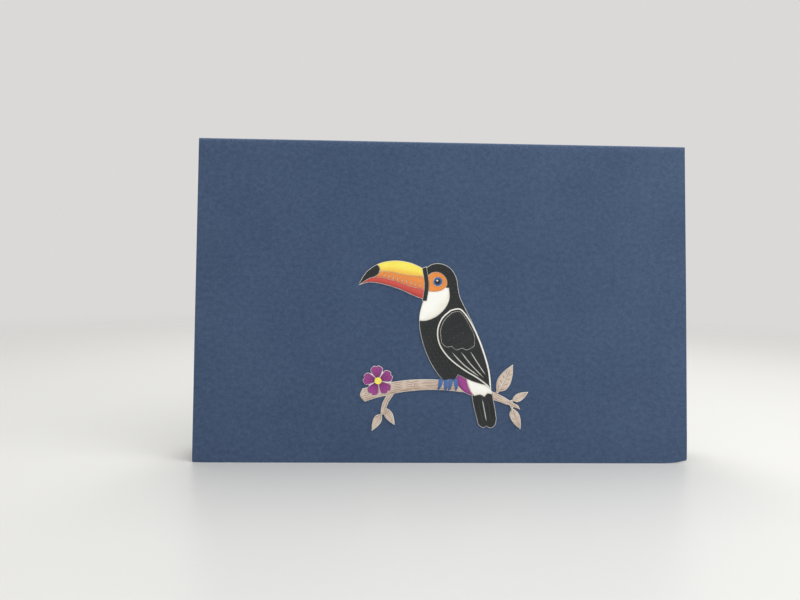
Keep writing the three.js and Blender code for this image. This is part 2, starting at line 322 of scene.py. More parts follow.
@dataclass(frozen=True)
class FeltBoard(Paper):
    """The cover's stiff board, with felt marks, worn fold and corners, and a painted highlight near the fold.

    The shares are how strongly each pattern counts in the tone or, for the relief, beside the felt marks.
    """

    felt_mm: float = 1.7
    felt_squeeze: Triple = (0.82, 1.0, 1.0)
    felt_share: float = 1.05
    felt_relief_mm: float = 0.055
    thread_mm: float = 2.3
    thread_width: float = 0.05
    thread_share: float = 0.26
    cloud_share: float = 0.6
    fine_relief_share: float = 0.35
    # The lighter colour, its range and strength: real wear, plus a painted highlight along and below the fold.
    wear_and_light_colour: Colour = (118, 134, 162)
    wear_and_light_range: Range = (0.18, 0.62)
    wear_and_light_strength: float = 0.6

    def face(self) -> bpy.types.Material:
        """Makes the board's material.

        Pattern coordinates are the sheet's own, so the marks stay put when the fold turns. The tone is the
        weighted sum of fine fibres, thin curls of loose fibre, middling felt marks that are wider than tall,
        and broad clouds. The wear and light attribute times the fibres lifts the tone where the board is worn,
        and paints a highlight along and below the fold.

        Returns:
            The material.
        """
        graph = Graph(self.name)
        place = graph.add("UVMap", uv_map=Cover.UV_NAME).outputs[0]
        squeezed = graph.add("Mapping", {"Vector": place, "Scale": self.felt_squeeze}).outputs[0]
        felt = graph.noise(squeezed, self.felt_mm, detail=2.0, roughness=0.5)
        fibre = graph.noise(place, self.fibre_mm, detail=3.0, roughness=0.6)
        cloud = graph.product(graph.noise(place, self.cloud_mm, detail=3.0), self.cloud_share)
        threads = graph.threads(place, self.thread_mm, self.thread_width)
        fine = graph.sum_of(threads, fibre, self.thread_share)
        tone = graph.sum_of(fine, graph.sum_of(felt, cloud, self.felt_share), 1.0)
        colour = graph.mottle(graph.remap(tone, self.tone_range), self.colour, self.mottle)
        # Lightens the tone where the board is worn, and paints a highlight along and below the fold.
        worn = graph.product(graph.attribute(Cover.WEAR_AND_LIGHT_NAME), fibre)
        bare = graph.remap(worn, self.wear_and_light_range, (0.0, self.wear_and_light_strength))
        colour = graph.blend_colours(bare, colour, linear(self.wear_and_light_colour))
        relief = graph.sum_of(fine, felt, self.fine_relief_share)
        return self.matt(graph, colour, relief, self.felt_relief_mm)


FINISHES: dict[str, Paper] = {
    "cover_board": FeltBoard(
        "navy_board",
        colour=(59, 78, 107),
        edge_colour=(48, 64, 92),
        wash_colour=(44, 60, 90),
        score_colour=(40, 54, 80),
        mottle=7.0,
        fibre_mm=0.7,
        cloud_mm=30,
        sheen=0.25,
        tone_range=(1.08, 1.72),
    ),
    "white_paper": Paper(
        "white_paper",
        colour=(246, 246, 240),
        edge_colour=(206, 196, 178),
        wash_colour=(226, 222, 202),
        score_colour=(214, 212, 204),
        mottle=2.5,
    ),
    "black_paper": Paper(
        "black_paper",
        colour=(44, 46, 47),
        edge_colour=(84, 80, 76),
        wash_colour=(62, 68, 78),
        score_colour=(76, 78, 82),
        mottle=4.5,
    ),
    "yellow_paper": Paper(
        "yellow_paper",
        colour=(246, 230, 100),
        edge_colour=(196, 168, 76),
        wash_colour=(236, 158, 66),
        score_colour=(206, 170, 66),
    ),
    "orange_paper": Paper(
        "orange_paper",
        colour=(228, 142, 72),
        edge_colour=(172, 98, 56),
        wash_colour=(206, 92, 66),
        score_colour=(176, 96, 54),
        mottle=5.0,
    ),
    "red_paper": Paper(
        "red_paper",
        colour=(204, 86, 76),
        edge_colour=(138, 56, 50),
        wash_colour=(150, 46, 50),
        score_colour=(140, 50, 48),
        mottle=5.0,
    ),
    "magenta_paper": Paper(
        "magenta_paper",
        colour=(152, 70, 136),
        edge_colour=(106, 52, 92),
        wash_colour=(96, 38, 92),
        score_colour=(98, 42, 90),
        mottle=5.0,
    ),
    "blue_paper": Paper(
        "blue_paper",
        colour=(74, 108, 164),
        edge_colour=(56, 76, 112),
        wash_colour=(46, 66, 110),
        score_colour=(46, 64, 104),
        mottle=5.0,
    ),
    "tan_paper": Paper(
        "tan_paper",
        colour=(208, 190, 176),
        edge_colour=(150, 122, 102),
        wash_colour=(168, 142, 120),
        score_colour=(126, 96, 76),
        mottle=5.0,
    ),
}


# ---------------------------------------------------------------------------------------- mesh helpers


def grid_quads(rows: int, columns: int) -> Array:
    """Works out the quads of a grid of points numbered row by row.

    Args:
        rows: number of rows of points.
        columns: number of points in a row.

    Returns:
        One row of four point numbers for each quad: along the row, then across to the next row.
    """
    number = np.arange(rows * columns).reshape(rows, columns)
    corners = [number[:-1, :-1], number[:-1, 1:], number[1:, 1:], number[1:, :-1]]
    return np.stack(corners, axis=-1).reshape(-1, 4)


def make_object(
    name: str,
    points: Array,
    faces: list[Array],
    materials: list[bpy.types.Material],
    sharp_degrees: float = 40.0,
) -> bpy.types.Object:
    """Puts computed points and faces into a mesh object at the origin.

    Args:
        name: the piece's name.
        points: one row of x, y and z for each point.
        faces: one array of faces for each material, in the materials' order.
        materials: the piece's material slots.
        sharp_degrees: edges that bend by more than this stay sharp.

    Returns:
        The linked object, shaded smooth.
    """
    mesh = bpy.data.meshes.new(name)
    polygons = [face for group in faces for face in group.tolist()]
    mesh.from_pydata(points.tolist(), [], polygons)
    slots = np.concatenate([np.full(len(group), i) for i, group in enumerate(faces)])
    mesh.polygons.foreach_set("material_index", slots.astype(np.int32))
    mesh.polygons.foreach_set("use_smooth", np.ones(len(polygons), bool))
    for material in materials:
        mesh.materials.append(material)
    mesh.update()
    mesh.set_sharp_from_angle(angle=math.radians(sharp_degrees))
    piece = bpy.data.objects.new(name, mesh)
    bpy.context.scene.collection.objects.link(piece)
    return piece


def add_values(mesh: bpy.types.Mesh, name: str, values: Array) -> None:
    """Gives each point of a mesh its value in a new attribute of that name."""
    attribute = mesh.attributes.new(name, "FLOAT", "POINT")
    attribute.data.foreach_set("value", values.astype(np.float32).ravel())


def graded(start: float, end: float, step: float, edges: tuple[float, ...]) -> Array:
    """Spaces stations evenly between two ends, with closer ones beside each end.

    Args:
        start: first station.
        end: last station.
        step: rough spacing of the stations.
        edges: distances from both ends at which a closer station stands.

    Returns:
        The stations in order.
    """
    inner = np.linspace(start + step, end - step, max(2, round((end - start) / step) - 1))
    near = np.asarray(edges) * np.sign(end - start)
    return np.unique(np.concatenate([[start], start + near, inner, end - near, [end]]))


# ---------------------------------------------------------------------------------------- the leaves


@dataclass(frozen=True)
class WearAndPaintedLight:
    """Lightening that is strongest at a line or a point and fades away from it: wear at edges and corners, and
    painted highlight along and below the fold.
    """

    strength: float
    reach: float

    def at(self, distance: Array) -> Array:
        """Returns the wear at a distance: the strength times e to the power of minus distance by reach."""
        return self.strength * np.exp(-distance / self.reach)


@dataclass(frozen=True)
class Corner:
    """A foot corner that has been knocked.

    Within its reach it bends outwards, or inwards by a negative number, and its foot draws up. Its point is
    rounded and worn.
    """

    bend: float
    reach: float
    draw: float
    rounding: float
    wear: float


@dataclass
class Leaf:
    """A leaf of the cover: where the frame has it, and the gentle way the board departs from flat.

    A place on a leaf is x along the fold, s down the leaf from the fold, and n outwards from the plane that
    holds the fold line and the direction down the leaf.
    """

    node: str
    bow: float
    left: Corner
    right: Corner
    bow_at_edge: float = 0.65
    fold: Array = field(init=False)
    down: Array = field(init=False)
    outward: Array = field(init=False)
    inner: float = field(init=False)
    outer: float = field(init=False)
    length: float = field(init=False)
    half_width: float = field(init=False)

    def __post_init__(self) -> None:
        """Reads the leaf's place from its node: its widest face gives the outward direction."""
        self.fold = np.array(frame["joints"][0]["pos_m"], float)
        points, triangles = node_mesh(self.node)
        corners = points[triangles]
        normals = np.cross(corners[:, 1] - corners[:, 0], corners[:, 2] - corners[:, 0])
        side = np.sign(points[:, 1].mean())
        normals = normals[normals[:, 1] * side > 0]
        widest = normals[np.argmax(np.linalg.norm(normals, axis=1))]
        self.outward = widest / np.linalg.norm(widest)
        self.down = np.cross([-side, 0.0, 0.0], self.outward)
        places = self.read(points)
        self.inner, self.outer = places[:, 2].min(), places[:, 2].max()
        self.length, self.half_width = places[:, 1].max(), places[:, 0].max()

    @property
    def middle(self) -> float:
        """Returns how far outwards the board's middle is."""
        return (self.inner + self.outer) / 2

    @property
    def board(self) -> float:
        """Returns the thickness of the board."""
        return self.outer - self.inner

    def read(self, points: Array) -> Array:
        """Turns points of the row frame into places x, s, n on the leaf."""
        away = points - self.fold
        return np.stack([points[..., 0], away @ self.down, away @ self.outward], axis=-1)

    def put(self, x: Array, s: Array, n: Array) -> Array:
        """Turns places on the leaf into points of the row frame, with the leaf's bow and bends added.

        Point = fold line at x, plus s down the leaf, plus n and the rise outwards.

        Args:
            x: places along the fold.
            s: distances down the leaf.
            n: distances outwards.

        Returns:
            The points, with x, y and z along the last axis.
        """
        out = (n + self.rise(x, s))[..., None]
        along = np.stack([x, 0 * x, 0 * x], axis=-1)
        base = np.array([0.0, self.fold[1], self.fold[2]])
        return base + along + s[..., None] * self.down + out * self.outward

    def rise(self, x: Array, s: Array) -> Array:
        """Works out how far the board stands out from flat.

        A bow down the leaf, the squared sine of the way down, is fullest in mid width and falls off to its
        share at the edge by a cosine. Each foot corner adds its bend times the square of how far a place is
        inside the corner's reach.

        Args:
            x: places along the fold.
            s: distances down the leaf.

        Returns:
            The distances, positive outwards.
        """
        down = np.clip(s / self.length, 0, 1)
        middle = np.cos(math.pi * x / (2 * self.half_width))
        across = self.bow_at_edge + (1 - self.bow_at_edge) * middle
        total = self.bow * np.sin(math.pi * down) ** 2 * across
        for corner, gap in self.corners(x, s):
            total = total + corner.bend * np.clip(1 - gap / corner.reach, 0, 1) ** 2
        return total

    def corners(self, x: Array, s: Array) -> list[tuple[Corner, Array]]:
        """Returns each foot corner with how far every place is from its point."""
        sides = ((self.left, -self.half_width), (self.right, self.half_width))
        return [(corner, np.hypot(side - x, self.length - s)) for corner, side in sides]

    def foot(self, x: Array) -> Array:
        """Works out how far down the leaf its foot is.

        It is level but for the corners, where it draws up by the square of how far a place is inside the
        corner's reach, and ends in a quarter round.

        Args:
            x: places along the fold.

        Returns:
            The foot's distance from the fold at each of them.
        """
        foot = np.full_like(x, self.length)
        for corner, sign in ((self.left, -1), (self.right, 1)):
            from_side = self.half_width - sign * x
            drawn = np.clip(1 - from_side / corner.reach, 0, 1)
            past = np.clip(corner.rounding - from_side, 0, corner.rounding)
            foot = foot - corner.draw * drawn**2 - corner.rounding + np.sqrt(corner.rounding**2 - past**2)
        return foot


def node_mesh(node: str) -> tuple[Array, Array]:
    """Reads a frame node's mesh with its doubled points merged.

    Args:
        node: the node's name.

    Returns:
        The points, and the triangles as rows of three point numbers.
    """
    mesh = frame["nodes"][node].data
    points = np.empty(len(mesh.vertices) * 3, np.float32)
    mesh.vertices.foreach_get("co", points)
    mesh.calc_loop_triangles()
    triangles = np.empty(len(mesh.loop_triangles) * 3, np.int32)
    mesh.loop_triangles.foreach_get("vertices", triangles)
    points = points.reshape(-1, 3).astype(float)
    steps = np.round(points / SAME_POINT)
    _, first, number = np.unique(steps, axis=0, return_index=True, return_inverse=True)
    return points[first], number.ravel()[triangles].reshape(-1, 3)


# ---------------------------------------------------------------------------------------- the cover


@dataclass
class Cover:
    """The cover: both leaves and the fold between them as one sheet of board.

    The fold is lightened at the full strength, by wear and a painted highlight, and the wears say how a
    leaf is lightened below it, by painted light, and worn beside its edges and at its corners.
    """

    front: Leaf
    back: Leaf
    finish: Paper
    spacing: float = 1.7 * MM
    fold_steps: int = 14
    rim: float = 0.1 * MM
    edge_stations: tuple[float, ...] = (0.25 * MM, 0.6 * MM, 1.1 * MM)
    # Wear plus a painted highlight, as of the fold catching the light, strongest at the fold.
    fold_wear_and_highlight: WearAndPaintedLight = WearAndPaintedLight(0.8, 0.9 * MM)
    # Painted light: a broad lightening of the leaf below the fold, as if it caught light from above.
    painted_light_below_fold: WearAndPaintedLight = WearAndPaintedLight(0.52, 6 * MM)
    edge_wear: WearAndPaintedLight = WearAndPaintedLight(0.15, 0.35 * MM)
    corner_wear_reach: float = 1.6 * MM

    UV_NAME = "Board"
    # The attribute that carries real wear and the painted highlight along and below the fold.
    WEAR_AND_LIGHT_NAME = "wear_and_painted_light"

    def stations(self) -> tuple[Array, Array]:
        """Spaces the sheet's points, closer beside its edges.

        Returns:
            The stations across the sheet, and those down a leaf as shares of its length.
        """
        across = graded(-self.front.half_width, self.front.half_width, self.spacing, self.edge_stations)
        shares = tuple(edge / self.front.length for edge in self.edge_stations)
        return across, graded(0.0, 1.0, self.spacing / self.front.length, shares)

    def leaf_rows(self, leaf: Leaf, across: Array, shares: Array) -> tuple[Array, Array]:
        """Works out a leaf's rows of points from the fold to the foot.

        Args:
            leaf: the leaf.
            across: stations across the sheet.
            shares: stations down the leaf, as shares of its length.

        Returns:
            The points on the board's middle surface, and their distances down the leaf.
        """
        x, share = np.meshgrid(across, shares)
        s = share * leaf.foot(x)
        return leaf.put(x, s, np.full_like(x, leaf.middle)), s

    def fold_rows(self, across: Array) -> Array:
        """Works out the rows of the fold, from the front leaf's side to the back leaf's.

        The share w of the turn runs from 0 to 1. Its polar angle about the fold line goes evenly from one
        leaf's outward direction to the other's. Its depth y solves smoothstep((y + e) / 2e) = w, which is the
        weight that the blend gives the same place, so the row stays in order however far the fold is opened.
        The reach e is the depth of the leaves' middle surfaces at the fold line, and the height z is y over
        the tangent of the angle. The rows are even in number, so that none has an angle of 0.

        Args:
            across: stations across the sheet.

        Returns:
            The points, row by row.
        """
        w = np.linspace(0, 1, self.fold_steps + 2)[1:-1]
        start = math.atan2(self.front.outward[1], self.front.outward[2])
        angle = start * (1 - 2 * w)
        reach = -self.front.middle * math.sin(start)
        y = -2 * reach * np.sin(np.arcsin(1 - 2 * w) / 3)
        z = y / np.tan(angle)
        rows = np.stack(np.broadcast_arrays(across, y[:, None], z[:, None]), axis=-1)
        return rows + [0, *self.front.fold[1:]]

    def wear_and_painted_light(self, leaf: Leaf, x: Array, s: Array) -> Array:
        """Works out how far a leaf is lightened, which at every place is the most that any of its causes gives.

        Near the fold the board is worn bare and carries a painted highlight, as of the fold catching the light;
        some way below it a broad painted light lifts the tone. It is just touched at the cut edges and worn at
        the foot corners.

        Args:
            leaf: the leaf.
            x: places along the fold.
            s: distances down the leaf.

        Returns:
            The lightening by wear and painted light, from 0 to 1.
        """
        beside = np.minimum(leaf.half_width - np.abs(x), leaf.foot(x) - s)
        causes = [self.fold_wear_and_highlight.at(s), self.painted_light_below_fold.at(s), self.edge_wear.at(beside)]
        causes += [WearAndPaintedLight(corner.wear, self.corner_wear_reach).at(gap) for corner, gap in leaf.corners(x, s)]
        return np.max(causes, axis=0)

    def build(self) -> bpy.types.Object:
        """Makes the sheet, gives it its thickness and blends it across the fold.

        Returns:
            The cover.
        """
        across, shares = self.stations()
        front, front_s = self.leaf_rows(self.front, across, shares)
        back, back_s = self.leaf_rows(self.back, across, shares)
        fold = self.fold_rows(across)
        points = np.concatenate([front[::-1], fold, back])
        quads = grid_quads(*points.shape[:2])[:, ::-1]
        materials = [self.finish.face(), self.finish.edge()]
        piece = make_object("cover", points.reshape(-1, 3), [quads], materials, sharp_degrees=180)
        self.add_pattern_place(piece.data, points, across)
        x = np.broadcast_to(across, front_s.shape)
        # The fold rows are lightened in full: wear plus painted highlight.
        worn = [self.wear_and_painted_light(self.front, x, front_s[::-1]), np.ones(fold.shape[:2])]
        worn.append(self.wear_and_painted_light(self.back, x, back_s))
        add_values(piece.data, self.WEAR_AND_LIGHT_NAME, np.concatenate(worn))
        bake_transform(piece)
        self.thicken(piece)
        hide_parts(self.front.node, self.back.node)
        return piece

    def add_pattern_place(self, mesh: bpy.types.Mesh, points: Array, across: Array) -> None:
        """Gives the mesh a UV map that holds each point's place on the flat sheet, in metres.

        A place is the station across, and the way along the sheet from half way between its foot edges.

        Args:
            mesh: the sheet's mesh.
            points: its points, row by row.
            across: stations across the sheet.
        """
        steps = np.linalg.norm(np.diff(points, axis=0), axis=2)
        run = np.concatenate([np.zeros((1, len(across))), np.cumsum(steps, axis=0)]) - steps.sum(axis=0) / 2
        place = np.stack([np.broadcast_to(across, run.shape), run], axis=-1).reshape(-1, 2)
        corners = np.empty(len(mesh.loops), np.int32)
        mesh.loops.foreach_get("vertex_index", corners)
        layer = mesh.uv_layers.new(name=self.UV_NAME)
        layer.data.foreach_set("uv", place[corners].astype(np.float32).ravel())

    def thicken(self, piece: bpy.types.Object) -> None:
        """Adds the board's thickness and a slight rounding of its cut edges.

        Args:
            piece: the cover.
        """
        solid = piece.modifiers.new("board", "SOLIDIFY")
        solid.thickness = self.front.board
        solid.offset = 0.0
        solid.use_even_offset = False
        solid.material_offset_rim = 1
        round_over = piece.modifiers.new("cut_edge", "BEVEL")
        round_over.width = self.rim
        round_over.segments = 2
        round_over.limit_method = "ANGLE"
        round_over.angle_limit = math.radians(60)


# ---------------------------------------------------------------------------------------- writing panel


@dataclass
class WritingPanel:
    """The white panel inside the back leaf: thin paper with a faint cockle where the glue took hold."""

    leaf: Leaf
    finish: Paper
    node: str = "writing_panel"
    cockle: float = 0.035 * MM
    wave_across: float = 17 * MM
    wave_down: float = 13 * MM
    phase: float = 1.1
    spacing: float = 2.5 * MM

    def build(self) -> bpy.types.Object:
        """Makes the panel on the leaf's inner face.

        Its middle surface follows the leaf's, with a cockle that is the product of a sine across and a sine
        down.

        Returns:
            The panel.
        """
        places = self.leaf.read(node_mesh(self.node)[0])
        low, high = places.min(axis=0), places.max(axis=0)
        steps = np.maximum(2, ((high - low) / self.spacing).astype(int))
        x, s = np.meshgrid(np.linspace(low[0], high[0], steps[0]), np.linspace(low[1], high[1], steps[1]))
        wave = np.sin(x / self.wave_across + self.phase) * np.sin(s / self.wave_down)
        n = (low[2] + high[2]) / 2 + self.cockle * wave
        points = self.leaf.put(x, s, n).reshape(-1, 3)
        materials = [self.finish.face(), self.finish.edge()]
        piece = make_object("writing_sheet", points, [grid_quads(*x.shape)], materials, sharp_degrees=180)
        solid = piece.modifiers.new("paper", "SOLIDIFY")
        solid.thickness = high[2] - low[2]
        solid.offset = 0.0
        solid.material_offset_rim = 1
        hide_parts(self.node)
        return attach(piece, Body.BACK.value)


# ---------------------------------------------------------------------------------------- cut paper


def loops_of(triangles: Array) -> list[Array]:
    """Finds the closed outlines round a patch of triangles.

    An edge that no other triangle runs the other way is on an outline. Each outline is followed by doubling:
    a run of points and a jump as long as the run give a run twice as long.

    Args:
        triangles: rows of three point numbers.

    Returns:
        The point numbers of each outline, in order round it.
    """
    starts, ends = triangles.ravel(), np.roll(triangles, -1, axis=1).ravel()
    count = triangles.max() + 1
    is_open = ~np.isin(starts * count + ends, ends * count + starts)
    jump = np.full(count, -1)
    jump[starts[is_open]] = ends[is_open]
    waiting = set(starts[is_open].tolist())
    loops = []
    while waiting:
        run, hop = np.array([min(waiting)]), jump
        while not (run[1:] == run[0]).any():
            run, hop = np.concatenate([run, hop[run]]), hop[hop]
        loop = run[: np.flatnonzero(run[1:] == run[0])[0] + 1]
        loops.append(loop)
        waiting -= set(loop.tolist())
    return loops


def smooth_outline(corners: Array, steps: int, corner_degrees: float) -> Array:
    """Rounds an outline's straight steps into a smooth curve that keeps its real corners.

    Each step becomes a cubic from point to point. Its tangents are the neighbouring directions weighted by
    the other step's length, or at a corner whatever makes the cubic a plain arc.

    Args:
        corners: the outline's points in order, one row each.
        steps: points made from each step.
        corner_degrees: a turn larger than this is a corner.

    Returns:
        The finer outline.
    """
    chord = np.roll(corners, -1, axis=0) - corners
    length = np.linalg.norm(chord, axis=1, keepdims=True)
    unit = chord / length
    before, length_before = np.roll(unit, 1, axis=0), np.roll(length, 1, axis=0)
    turn = np.degrees(np.arccos(np.clip((unit * before).sum(axis=1), -1, 1)))
    is_corner = (turn > corner_degrees)[:, None]
    tangent = (before * length + unit * length_before) / (length + length_before)
    leaving, arriving = tangent * length, np.roll(tangent, -1, axis=0) * length
    next_is_corner = np.roll(is_corner, -1, axis=0)
    leaving, arriving = (
        np.where(is_corner, np.where(next_is_corner, chord, 2 * chord - arriving), leaving),
        np.where(next_is_corner, np.where(is_corner, chord, 2 * chord - leaving), arriving),
    )
    t = (np.arange(steps) / steps)[None, :, None]
    start, end = corners[:, None], np.roll(corners, -1, axis=0)[:, None]
    curve = (
        (2 * t**3 - 3 * t**2 + 1) * start
        + (t**3 - 2 * t**2 + t) * leaving[:, None]
        + (3 * t**2 - 2 * t**3) * end
        + (t**3 - t**2) * arriving[:, None]
    )
    return curve.reshape(-1, 2)


def drawn_in(outline: Array, margin: float) -> Array:
    """Moves an outline's points to their left by a margin, along the bisector of the two edges.

    The move is the margin over the cosine of half the turn. It shrinks again at a corner so sharp that twice
    the square of that cosine is less than SHARPEST.

    Args:
        outline: the outline's points in order, one row each.
        margin: how far each edge moves.

    Returns:
        The moved outline.
    """
    unit = np.roll(outline, -1, axis=0) - outline
    unit = unit / np.linalg.norm(unit, axis=1, keepdims=True)
    both = unit + np.roll(unit, 1, axis=0)
    left = np.stack([-both[:, 1], both[:, 0]], axis=1)
    square = (both**2).sum(axis=1, keepdims=True) / 2
    return outline + margin * left / np.maximum(square, SHARPEST)


def crossings(places: Array, outlines: list[Array]) -> tuple[Array, Array]:
    """Meets a level line through each place with every edge of the outlines.

    Args:
        places: one row of two coordinates for each place.
        outlines: closed outlines.

    Returns:
        Where each line meets each edge, as the first coordinate, and whether it does.
    """
    starts = np.concatenate(outlines)
    ends = np.concatenate([np.roll(outline, -1, axis=0) for outline in outlines])
    level = places[:, 1, None]
    meets = (starts[:, 1] > level) != (ends[:, 1] > level)
    rise = ends[:, 1] - starts[:, 1]
    slope = (ends[:, 0] - starts[:, 0]) / np.where(rise == 0, 1.0, rise)
    return starts[:, 0] + (level - starts[:, 1]) * slope, meets


def is_inside(places: Array, outlines: list[Array]) -> Array:
    """Tells which places have an odd number of the outlines' edges to one side, and so lie inside."""
    meeting, meets = crossings(places, outlines)
    return (meets & (places[:, 0, None] < meeting)).sum(axis=1) % 2 == 1


def lattice_inside(outlines: list[Array], spacing: float) -> Array:
    """Fills outlines with a lattice of even triangles.

    Every other row is shifted by half the spacing, and the rows stand the height of a triangle apart.

    Args:
        outlines: the outer outline and any holes.
        spacing: distance between the lattice's points.

    Returns:
        The points that lie inside.
    """
    edge = np.concatenate(outlines)
    low, high = edge.min(axis=0), edge.max(axis=0)
    height = spacing * math.sqrt(0.75)
    columns, rows = np.meshgrid(np.arange(low[0], high[0], spacing), np.arange(low[1], high[1], height))
    columns = columns + (np.arange(len(columns)) % 2)[:, None] * spacing / 2
    lattice = np.stack([columns, rows], axis=-1).reshape(-1, 2)
    return lattice[is_inside(lattice, outlines)]


def distance_to(places: Array, marks: Array) -> Array:
    """Returns each place's distance from the nearest of the marks."""
    return np.linalg.norm(places[:, None] - marks[None], axis=2).min(axis=1)


def smoothstep(share: Array) -> Array:
    """Eases a share from 0 to 1: three times its square less twice its cube."""
    share = np.clip(share, 0, 1)
    return share * share * (3 - 2 * share)


@dataclass(frozen=True)
class Score:
    """A line scored into paper: its path, its width at the middle and the depth of its bottom."""

    path: Array
    width: float
    depth: float = 0.05 * MM

    def outline(self) -> Array:
        """Works out both sides of the line, which stand off the path by half the width and meet at its ends.

        The half width swells as the square root of the sine of the way along.

        Returns:
            The closed outline of the line.
        """
        way = np.linspace(0, 1, len(self.path))
        along = np.gradient(self.path, axis=0)
        along = along / np.linalg.norm(along, axis=1, keepdims=True)
        half = 0.5 * self.width * np.sqrt(np.clip(np.sin(math.pi * way), 0, 1))
        aside = np.stack([-along[:, 1], along[:, 0]], axis=1) * half[:, None]
        sides = [self.path[:1], (self.path - aside)[1:-1], self.path[-1:], (self.path + aside)[-2:0:-1]]
        return np.concatenate(sides)


@dataclass
class Face:
    """A paper's face as triangles.

    It knows which of them are scored, how deep its points are, and the edges of its outlines.
    """

    places: Array
    triangles: Array
    is_scored: Array
    depth: Array
    rims: Array

    CLEARANCE = 0.45
    TOLERANCE = 1e-7

    @classmethod
    def filling(cls, outlines: list[Array], scores: list[Score], spacing: float) -> "Face":
        """Fills outlines with triangles that keep every outline and score as edges.

        A lattice of points inside lets the sheet bend. It leaves out the points nearer to an outline or a
        score than the clearance, a share of the spacing. The points of the outlines come first, in order.

        Args:
            outlines: the outer outline and any holes.
            scores: the scored lines.
            spacing: distance between the lattice's points.

        Returns:
            The filled face.
        """
        marks = np.concatenate([*outlines, *(score.path for score in scores)])
        lattice = lattice_inside(outlines, spacing)
        lattice = lattice[distance_to(lattice, marks) > cls.CLEARANCE * spacing]
        starts = np.cumsum([0] + [len(outline) for outline in outlines])
        outline_rims = [cls.rim(start, len(outline)) for start, outline in zip(starts, outlines)]
        start = starts[-1] + len(lattice)
        points, rims, depth = [*outlines, lattice], [*outline_rims], [np.zeros(start)]
        grooves = [score.outline() for score in scores]
        for score, groove in zip(scores, grooves):
            bottom = start + len(groove) + np.arange(len(score.path) - 2)
            spine = np.concatenate([[start], bottom, [start + len(score.path) - 1]])
            rims += [cls.rim(start, len(groove)), np.stack([spine[:-1], spine[1:]], axis=1)]
            points += [groove, score.path[1:-1]]
            depth += [np.zeros(len(groove)), np.full(len(bottom), score.depth)]
            start += len(groove) + len(bottom)
        places = np.concatenate(points)
        triangles = cls.triangulate(places, np.concatenate(rims))
        middle = places[triangles].mean(axis=1)
        inside = is_inside(middle, outlines)
        triangles, middle = triangles[inside], middle[inside]
        scored = is_inside(middle, grooves) if grooves else np.zeros(len(triangles), bool)
        return cls(places, triangles, scored, np.concatenate(depth), np.concatenate(outline_rims))

    @classmethod
    def triangulate(cls, places: Array, edges: Array) -> Array:
        """Joins places by triangles that keep the given edges.

        Args:
            places: one row of two coordinates for each place.
            edges: rows of two point numbers.

        Returns:
            The triangles, as rows of three point numbers.

        Raises:
            ValueError: if edges cross or places fall together.
        """
        vectors = [Vector(place) for place in (places / MM).tolist()]
        made = delaunay_2d_cdt(vectors, edges.tolist(), [], 0, cls.TOLERANCE)
        points, triangles = made[0], made[2]
        if len(points) != len(places):
            raise ValueError(f"{len(points)} points made from {len(places)}: scores or outlines cross")
        return np.array(triangles)

    @staticmethod
    def rim(start: int, count: int) -> Array:
        """Returns the edges of a closed outline of points numbered from start."""
        number = start + np.arange(count)
        return np.stack([number, np.roll(number, -1)], axis=1)


class Heading(Enum):
    """Which way a piece's long axis runs."""

    RIGHT = "right"
    TO_BROAD_END = "to the broad end"
    TO_NARROW_END = "to the narrow end"


